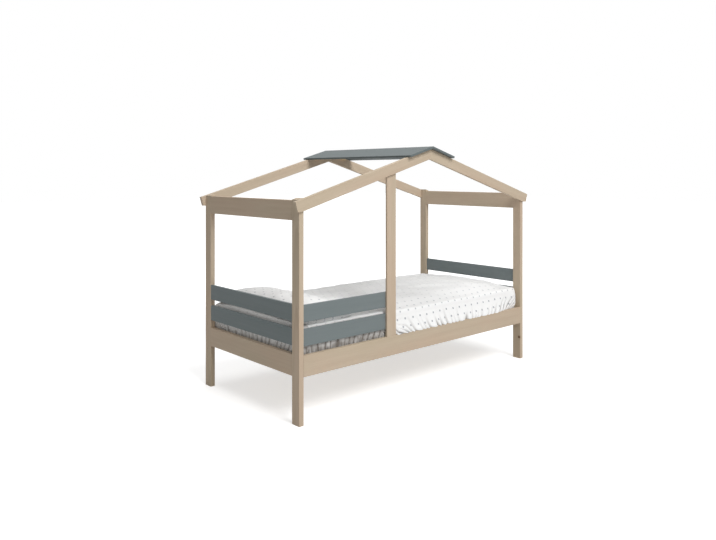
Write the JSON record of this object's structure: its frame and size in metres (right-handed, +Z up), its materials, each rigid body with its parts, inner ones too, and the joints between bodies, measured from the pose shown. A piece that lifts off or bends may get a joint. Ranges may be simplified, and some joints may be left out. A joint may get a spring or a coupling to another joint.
{
  "type": "house frame bed",
  "caption": "Child's bed in a house-shaped wooden frame: low gable rafters with a grey roof cap, grey guard boards, slatted base, gathered dotted mattress cover and a pillow.",
  "frame": {"origin": "on the floor under the middle of the bed", "axes": "+X along the bed from the pillow end to the foot end, +Y from the open front to the rear, +Z up"},
  "size_m": [2.047, 1.036, 1.472],
  "materials": {
    "frame_wood": "pale whitewashed softwood, matt clear coat",
    "grey_board": "grey stained softwood, satin",
    "base_wood": "planed bare softwood",
    "dowel_wood": "turned hardwood, bare",
    "steel_fitting": "zinc plated",
    "webbing": "woven tape",
    "mattress_ticking": "knitted ticking",
    "dotted_cover": "quilted cotton with a grey dot pattern",
    "pillow_case": "woven cotton with a grey dot pattern"
  },
  "bodies": {
    "frame": {"bed_hook_plates": "steel_fitting", "bed_slot_plates": "steel_fitting", "end_guard_lower_left": "grey_board", "end_guard_lower_right": "grey_board", "end_guard_upper_left": "grey_board", "end_guard_upper_right": "grey_board", "end_low_rail_left": "frame_wood", "end_low_rail_right": "frame_wood", "end_top_rail_left": "frame_wood", "end_top_rail_right": "frame_wood", "front_guard_lower": "grey_board", "front_guard_upper": "grey_board", "ledger_front": "base_wood", "ledger_rear": "base_wood", "middle_post_front": "frame_wood", "post_front_left": "frame_wood", "post_front_right": "frame_wood", "post_rear_left": "frame_wood", "post_rear_right": "frame_wood", "rafter_dowels": "dowel_wood", "rafter_front_left": "frame_wood", "rafter_front_right": "frame_wood", "rafter_rear_left": "frame_wood", "rafter_rear_right": "frame_wood", "ridge_splines": "dowel_wood", "roof_board_left": "grey_board", "roof_board_right": "grey_board", "roof_cleat_front_left": "base_wood", "roof_cleat_front_right": "base_wood", "roof_cleat_rear_left": "base_wood", "roof_cleat_rear_right": "base_wood", "side_rail_front": "frame_wood", "side_rail_rear": "frame_wood", "slat_01": "base_wood", "slat_02": "base_wood", "slat_03": "base_wood", "slat_04": "base_wood", "slat_05": "base_wood", "slat_06": "base_wood", "slat_07": "base_wood", "slat_08": "base_wood", "slat_09": "base_wood", "slat_10": "base_wood", "slat_11": "base_wood", "slat_12": "base_wood", "slat_13": "base_wood", "slat_14": "base_wood", "slat_tape_front": "webbing", "slat_tape_rear": "webbing"},
    "bedding": {"mattress": "mattress_ticking", "bedding_cover": "dotted_cover"},
    "pillow": {"pillow": "pillow_case"}
  },
  "joints": [
    {"name": "mattress_lift", "type": "slide", "parent": "frame", "child": "bedding", "axis": [0, 0, 1], "range_m": [0, 0.32]},
    {"name": "pillow_lift", "type": "slide", "parent": "bedding", "child": "pillow", "axis": [0, 0, 1], "range_m": [0, 0.16]}
  ]
}
